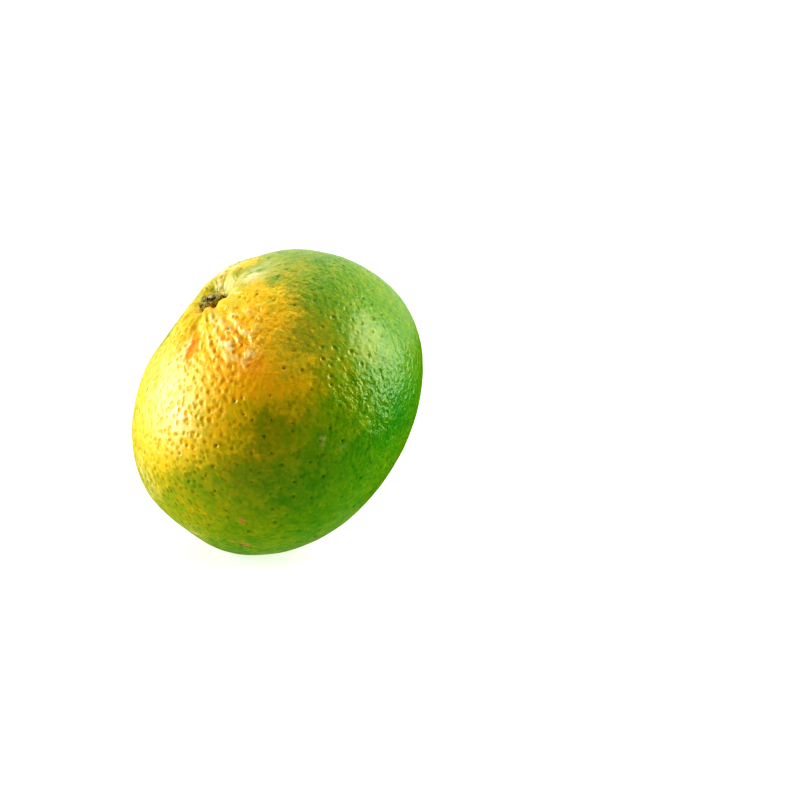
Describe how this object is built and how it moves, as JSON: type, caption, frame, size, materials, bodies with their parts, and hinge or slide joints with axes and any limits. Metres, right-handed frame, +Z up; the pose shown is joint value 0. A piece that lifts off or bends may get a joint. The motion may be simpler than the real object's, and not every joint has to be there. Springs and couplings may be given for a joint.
{
  "type": "arrayana mandarin",
  "caption": "Whole picked citrus fruit, flattened and slightly lopsided, green turning yellow, with a folded stem basin and its dry calyx, lying on a small flat spot.",
  "frame": {"origin": "middle of the flat spot that the fruit lies on", "axes": "+Z up, away from the surface it lies on; +Y across the fruit along its longest extent; -Y is the side that shows the stem end, which leans up and towards -X"},
  "size_m": [0.0611, 0.0668, 0.0625],
  "materials": {
    "rind": "waxy, pitted citrus rind, lemon yellow and orange at the stem end, turning through olive to green",
    "calyx": "dry, dull olive brown"
  },
  "bodies": {
    "root": {"fruit": "rind", "calyx": "calyx"}
  },
  "joints": []
}
